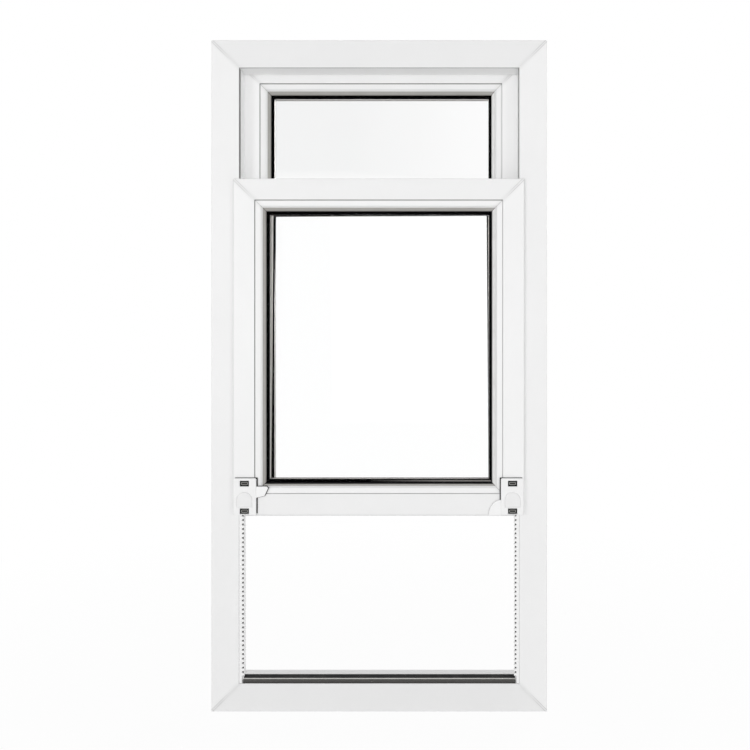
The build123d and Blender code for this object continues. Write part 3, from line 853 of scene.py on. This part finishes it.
# %% Make the buttons
BUTTON_WIDTH = 0.0118
BUTTON_HEIGHT = 0.0056
BUTTON_RADIUS = 0.0018
WINDOW_SPACING = 0.049
WINDOW_FIRST = 0.0068
button_steps = [
    (0, 0),
    (0, 0.0010),
    (0.0004, RIM_RISE),
    (0.0009, RIM_RISE),
    (0.0012, 0.0011),
    (0.0016, 0.0010),
]
for side in ("left", "right"):
    low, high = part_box(f"thumb_pad_{side}")
    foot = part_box(f"corner_box_{side}")[0].z
    mesh = bmesh.new()
    for window in range(2):
        height = foot + WINDOW_FIRST + window * WINDOW_SPACING
        centre = ((low.x + high.x) / 2, PLATE_FRONT, height)
        step_up(mesh, centre, BUTTON_WIDTH, BUTTON_HEIGHT, BUTTON_RADIUS, button_steps)
    piece_from(mesh, f"latch_buttons_{side}", button_grey)

# %% [markdown]
# ## The rear seal of the sash's glass
#
# In the picture a second dark line runs inside the first, and it isn't quite parallel: the rear
# pane and its sealant sit a little askew in the sash. The sealant is a thin black band on the rear
# pane, and the bar behind it shows as a grey band up to the spacer. Both are flat rings between two
# four-cornered loops, so the skew is in the corners and nowhere else.

# %% Rings between two loops
def flat_ring(mesh, outer, inner, back, thickness):
    """Adds a closed flat ring between two loops of four corners, from back towards -Y."""
    front = back - thickness
    rows = []
    for loop, depth in ((outer, back), (inner, back), (inner, front), (outer, front)):
        rows.append([mesh.verts.new((x, depth, z)) for x, z in loop])
    for row, following in zip(rows, rows[1:] + rows[:1]):
        for place in range(4):
            ahead = (place + 1) % 4
            mesh.faces.new((row[place], row[ahead], following[ahead], following[place]))


def grown(loop, left, right, top, bottom):
    """A loop of four corners, from the top left clockwise, moved outwards on each side."""
    moves = ((-left, top), (right, top), (right, -bottom), (-left, -bottom))
    return [(x + move_x, z + move_z) for (x, z), (move_x, move_z) in zip(loop, moves)]


def held(loop, limit):
    """A loop kept inside another one, corner by corner."""
    middle_z = (limit[0][1] + limit[2][1]) / 2
    kept = []
    for (x, z), (far_x, far_z) in zip(loop, limit):
        held_x = min(abs(x), abs(far_x))
        held_z = min(abs(z - middle_z), abs(far_z - middle_z))
        kept.append((math.copysign(held_x, x), middle_z + math.copysign(held_z, z - middle_z)))
    return kept


# %% Lay the seal and the bar on the rear pane
SPACER_INSET = 0.0192
SEAL_DEPTH = 0.0006
BAR_DEPTH = SEAL_DEPTH / 2
PANE_LIFT = 0.0001
SEAL_WIDTHS = (0.0046, 0.0024, 0.0026, 0.0024)
ASKEW_LOOP = [(-0.1883, 0.8870), (0.1930, 0.8932), (0.1977, 0.4146), (-0.2010, 0.4093)]

pane_low, pane_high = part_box("sash_glass_back")
pane_face = pane_low.y - PANE_LIFT
left, right = pane_low.x + SPACER_INSET, pane_high.x - SPACER_INSET
bottom, top = pane_low.z + SPACER_INSET, pane_high.z - SPACER_INSET
spacer_loop = [(left, top), (right, top), (right, bottom), (left, bottom)]
seal_inner = held(ASKEW_LOOP, grown(spacer_loop, *[-0.0004] * 4))
seal_outer = held(grown(ASKEW_LOOP, *SEAL_WIDTHS), grown(spacer_loop, *[-0.0002] * 4))
bar_inner = held(grown(seal_outer, *[-0.0002] * 4), spacer_loop)
seal_black = rubber("seal_black", tone(4, 4, 5), tone(9, 9, 10), 0.0, 300, 0.6, 0.05)
bar_grey = nylon("bar_grey", tone(176, 172, 169), tone(190, 186, 183), 0.42, 0.05, 0.2)
for name, outer, inner, depth, material in (
    ("sash_rear_seal", seal_outer, seal_inner, SEAL_DEPTH, seal_black),
    ("sash_rear_bar", spacer_loop, bar_inner, BAR_DEPTH, bar_grey),
):
    mesh = bmesh.new()
    flat_ring(mesh, outer, inner, pane_face, depth)
    piece_from(mesh, name, material)

# %% [markdown]
# ## Repeats made by Geometry Nodes
#
# Two things on this window repeat hundreds of times: the fibres of the pile seals and the small
# slits in the spacer bars, which let the drying beads inside reach the air between the panes. Each
# tree takes its sizes as named inputs, ends in Realize Instances and Set Material, and is turned
# into a plain mesh, because instances don't survive an export.

# %% A helper for geometry trees
class Growth:
    """One Geometry Nodes tree. node() adds a node, and grow() turns the tree into a piece."""

    def __init__(self, name, inputs):
        self.tree = bpy.data.node_groups.new(name, "GeometryNodeTree")
        self.identifiers = {}
        for label, kind in inputs.items():
            socket = self.tree.interface.new_socket(label, in_out="INPUT", socket_type=kind)
            self.identifiers[label] = socket.identifier
        geometry = "NodeSocketGeometry"
        self.tree.interface.new_socket("Geometry", in_out="OUTPUT", socket_type=geometry)
        self.inputs = self.tree.nodes.new("NodeGroupInput")

    def node(self, kind, settings=None, sockets=None):
        """Adds a node: its settings first, then values or links of its input sockets."""
        node = self.tree.nodes.new(kind)
        for name, value in (settings or {}).items():
            setattr(node, name, value)
        for name, value in (sockets or {}).items():
            shown = [s for s in node.inputs if s.name == name and s.enabled]
            socket = ([s for s in node.inputs if s.identifier == name] or shown)[0]
            if isinstance(value, bpy.types.NodeSocket):
                self.tree.links.new(value, socket)
            else:
                socket.default_value = value
        return node

    def given(self, label):
        """The tree's own input of that name."""
        return self.inputs.outputs[label]

    def end(self, geometry, material):
        """Realizes the instances, sets their material and ends the tree."""
        real = self.node("GeometryNodeRealizeInstances", {}, {"Geometry": geometry})
        sockets = {"Geometry": real.outputs[0], "Material": material}
        painted = self.node("GeometryNodeSetMaterial", {}, sockets)
        self.node("NodeGroupOutput", sockets={"Geometry": painted.outputs[0]})

    def grow(self, name, values):
        """Runs the tree on an empty mesh and keeps the result as a plain mesh."""
        piece = bpy.data.objects.new(name, bpy.data.meshes.new(name))
        bpy.context.scene.collection.objects.link(piece)
        modifier = piece.modifiers.new("grow", "NODES")
        modifier.node_group = self.tree
        for label, value in values.items():
            modifier[self.identifiers[label]] = value
        bpy.context.view_layer.update()
        evaluated = piece.evaluated_get(bpy.context.evaluated_depsgraph_get())
        mesh = bpy.data.meshes.new_from_object(evaluated)
        piece.modifiers.clear()
        piece.data = mesh
        print(name, len(mesh.polygons), "faces")
        return piece


# %% [markdown]
# ## Pile seals
#
# A pile seal is a strip of woven backing with a dense brush on it, which slides on the fixed light
# and keeps the draught out. A grid of points, nudged at random, carries one thin four-sided fibre
# each, leaning a little: dense enough to read as a brush, and cheap enough to stay real geometry.

# %% Fibre
def pile_fibre(name):
    """Soft grey wool-like fibre, mottled from strand to strand."""
    finish = Finish(name)
    mix = finish.noise(finish.place(), 900.0, 2.0, 0.6)
    return finish.close(
        Base_Color=finish.blend(mix, tone(150, 150, 148), tone(196, 196, 192)),
        Roughness=0.8 + mix * 0.1,
        Sheen_Weight=0.4,
    )


# %% The brush tree
NUDGE = (0.0004, 0.0005, 0.0)
LEAN = (0.10, 0.16)
FIBRE_TIP, FIBRE_ROOT = 0.00012, 0.00032

brush = Growth(
    "brush",
    {
        "Length": "NodeSocketFloat",
        "Width": "NodeSocketFloat",
        "Height": "NodeSocketFloat",
        "Rows": "NodeSocketInt",
        "Fibres": "NodeSocketInt",
        "Place": "NodeSocketVector",
    },
)
grid = brush.node(
    "GeometryNodeMeshGrid",
    sockets={
        "Size X": brush.given("Width"),
        "Size Y": brush.given("Length"),
        "Vertices X": brush.given("Rows"),
        "Vertices Y": brush.given("Fibres"),
    },
)
nudge = brush.node(
    "FunctionNodeRandomValue",
    {"data_type": "FLOAT_VECTOR"},
    {"Min": tuple(-v for v in NUDGE), "Max": NUDGE, "Seed": 4},
)
nudged = brush.node(
    "GeometryNodeSetPosition",
    sockets={"Geometry": grid.outputs["Mesh"], "Offset": nudge.outputs[0]},
)
fibre = brush.node(
    "GeometryNodeMeshCone",
    {"fill_type": "NONE"},
    {
        "Vertices": 4,
        "Radius Top": FIBRE_TIP,
        "Radius Bottom": FIBRE_ROOT,
        "Depth": brush.given("Height"),
    },
)
lean = brush.node(
    "FunctionNodeRandomValue",
    {"data_type": "FLOAT_VECTOR"},
    {"Min": (-LEAN[0], -LEAN[1], 0.0), "Max": (LEAN[0], LEAN[1], 1.5), "Seed": 9},
)
fibres = brush.node(
    "GeometryNodeInstanceOnPoints",
    sockets={
        "Points": nudged.outputs[0],
        "Instance": fibre.outputs["Mesh"],
        "Rotation": lean.outputs[0],
    },
)
stood = brush.node(
    "GeometryNodeTransform",
    sockets={
        "Geometry": fibres.outputs[0],
        "Rotation": (math.radians(-90), 0, 0),
        "Translation": brush.given("Place"),
    },
)
brush.end(stood.outputs[0], pile_fibre("pile_fibre"))

# %% Grow the two pile seals on their backing
BACKING = 0.0011
BACKING_EDGE = 0.0004
END_MARGIN = 0.002
SIDE_MARGIN = 0.0022
FIBRE_SPACING = 0.0013
backing_steps = [(0, 0), (0, BACKING * 0.7), (BACKING_EDGE, BACKING)]
for side in ("left", "right"):
    low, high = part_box(f"pile_seal_{side}")
    middle_x, middle_z = (low.x + high.x) / 2, (low.z + high.z) / 2
    length = high.z - low.z
    height = high.y - low.y - BACKING
    bristles = brush.grow(
        f"pile_bristles_{side}",
        {
            "Length": length - END_MARGIN,
            "Width": high.x - low.x - SIDE_MARGIN,
            "Height": height * 0.97,
            "Rows": 4,
            "Fibres": round(length / FIBRE_SPACING),
            "Place": (middle_x, low.y + BACKING + height / 2, middle_z),
        },
    )
    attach(bristles, "root")
    mesh = bmesh.new()
    foot = (middle_x, low.y + BACKING, middle_z)
    step_up(mesh, foot, high.x - low.x, length, BACKING_EDGE, backing_steps)
    backing = piece_from(mesh, f"pile_backing_{side}", latch_nylon)
    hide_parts(f"pile_seal_{side}")

# %% [markdown]
# ## Slits in the spacer bars
#
# The slits run along the middle of the bar's inner face. A rectangle curve follows that face, it is
# resampled at the slit spacing, and each point carries one flat slit turned along the curve.

# %% The slit tree
slit_black = nylon("slit_black", tone(20, 20, 20), tone(30, 30, 30), 0.7, 0.0)
slits = Growth(
    "slits",
    {
        "Width": "NodeSocketFloat",
        "Height": "NodeSocketFloat",
        "Spacing": "NodeSocketFloat",
        "Slit": "NodeSocketVector",
        "Place": "NodeSocketVector",
    },
)
path = slits.node(
    "GeometryNodeCurvePrimitiveQuadrilateral",
    {"mode": "RECTANGLE"},
    {"Width": slits.given("Width"), "Height": slits.given("Height")},
)
stops = slits.node(
    "GeometryNodeResampleCurve",
    {"mode": "LENGTH"},
    {"Curve": path.outputs[0], "Length": slits.given("Spacing")},
)
tangent = slits.node("GeometryNodeInputTangent")
turned = slits.node(
    "FunctionNodeAlignRotationToVector", {"axis": "X"}, {"Vector": tangent.outputs[0]}
)
slit = slits.node("GeometryNodeMeshCube", sockets={"Size": slits.given("Slit")})
row = slits.node(
    "GeometryNodeInstanceOnPoints",
    sockets={
        "Points": stops.outputs[0],
        "Instance": slit.outputs["Mesh"],
        "Rotation": turned.outputs[0],
    },
)
upright = slits.node(
    "GeometryNodeTransform",
    sockets={
        "Geometry": row.outputs[0],
        "Rotation": (math.radians(90), 0, 0),
        "Translation": slits.given("Place"),
    },
)
slits.end(upright.outputs[0], slit_black)

# %% Cut the slits of both lights
SLIT_SPACING = 0.005
SLIT_SIZE = (0.0022, 0.00008, 0.0005)
for light in ("fixed", "sash"):
    low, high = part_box(f"{light}_glass_back")
    bar_low, bar_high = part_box(f"{light}_spacer")
    row_of_slits = slits.grow(
        f"{light}_spacer_slits",
        {
            "Width": high.x - low.x - 2 * SPACER_INSET,
            "Height": high.z - low.z - 2 * SPACER_INSET,
            "Spacing": SLIT_SPACING,
            "Slit": SLIT_SIZE,
            "Place": (0, (bar_low.y + bar_high.y) / 2, (low.z + high.z) / 2),
        },
    )
    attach(row_of_slits, "root")

# %% [markdown]
# ## Floor and surroundings
#
# The picture is a cut-out on white, so the floor and the surroundings have to read as white without
# more light on the window. Brighter lamps would do it, but they would burn out the white plastic.
# Light Path tells a ray that looks from the light that falls on things: rays that look see white,
# while the window is lit by a grey sky of moderate strength. A small share of the floor's real
# shading stays near the window, and with it the window's shadow.

# %% White floor that keeps a shadow
FLOOR_HALF = 6.0
FLOOR_GLOW = 0.95
GLOW_FADE = (0.4, 1.6)


def white_floor(name):
    """Pale floor that glows where it is looked at, fully only at a distance from the window."""
    finish = Finish(name)
    place = finish.place()
    length = finish.node("ShaderNodeVectorMath", {"operation": "LENGTH"}, {"Vector": place})
    far = finish.out(length, "Value").rise(*GLOW_FADE)
    mottle = finish.noise(place, 3.0, 3.0, 0.5)
    colour = finish.blend(mottle, tone(240, 240, 240), tone(244, 244, 244))
    sockets = {"Base Color": colour, "Roughness": 0.9}
    lit = finish.node("ShaderNodeBsdfPrincipled", {}, sockets)
    glow = finish.node("ShaderNodeEmission", {}, {"Color": (1, 1, 1, 1), "Strength": 1.0})
    share = finish.looking() * (far * (1 - FLOOR_GLOW) + FLOOR_GLOW)
    return finish.surface(finish.mixed(share, lit, glow))


mesh = bmesh.new()
signs = ((-1, -1), (1, -1), (1, 1), (-1, 1))
mesh.faces.new([mesh.verts.new((x * FLOOR_HALF, y * FLOOR_HALF, 0)) for x, y in signs])
floor_data = bpy.data.meshes.new("floor")
mesh.to_mesh(floor_data)
mesh.free()
floor_data.materials.append(white_floor("floor_white"))
floor = bpy.data.objects.new("floor", floor_data)
bpy.context.scene.collection.objects.link(floor)
print("floor of", 2 * FLOOR_HALF, "m")

# %% White surroundings and grey sky light
SKY_LIGHT = 0.54
sky = Finish("surroundings", bpy.data.worlds.new("surroundings"))
bpy.context.scene.world = sky.owner
white_sky = sky.node("ShaderNodeBackground", {}, {"Color": (1, 1, 1, 1), "Strength": 1.0})
grey_sky = sky.node("ShaderNodeBackground", {}, {"Color": (1, 1, 1, 1), "Strength": SKY_LIGHT})
sky_seen = sky.mixed(sky.looking(), grey_sky, white_sky)
sky.node("ShaderNodeOutputWorld", {}, {"Surface": sky.out(sky_seen)})
print("sky light", SKY_LIGHT)

# %% [markdown]
# ## Lamps
#
# Three soft lamps stand far in front and one behind, so that every face gets light from its own
# side. They are large, because small lamps draw hard shadows in the stepped frame. A lamp that is
# mirrored in a pane lays a bright square over the dark seals. Seen from the camera, the mirror
# images of the two outer lamps miss the panes. The one in the middle is hidden from glossy rays, so
# the foremost face of the glass doesn't mirror it.

# %% Soft lamps
def soft_lamp(name, place, target, size, power, mirrored=True):
    """A square area lamp that faces a point, and that glossy rays see or don't."""
    data = bpy.data.lights.new(name, "AREA")
    data.shape = "SQUARE"
    data.size = size
    data.energy = power
    lamp = bpy.data.objects.new(name, data)
    lamp.location = place
    lamp.rotation_euler = (Vector(target) - Vector(place)).to_track_quat("-Z", "Y").to_euler()
    lamp.visible_glossy = mirrored
    bpy.context.scene.collection.objects.link(lamp)
    print(name, power, "W")


soft_lamp("key_lamp", (-2.6, -5.5, 1.1), (0, 0, 0.60), 1.6, 50)
soft_lamp("front_lamp", (0.1, -5.5, 0.9), (0, 0, 0.60), 1.8, 60, mirrored=False)
soft_lamp("fill_lamp", (3.0, -5.0, 0.3), (0, 0, 0.4), 1.6, 52)
soft_lamp("back_lamp", (2.8, 4.4, 2.0), (0, 0, 0.6), 1.6, 70)

# %% [markdown]
# ## Finish
#
# Standard view keeps colours as they are written.

# %% Set the view and close the scene
bpy.context.scene.view_settings.view_transform = "Standard"
print("dressed CAD nodes:", len(dressed), "of", len(nodes))
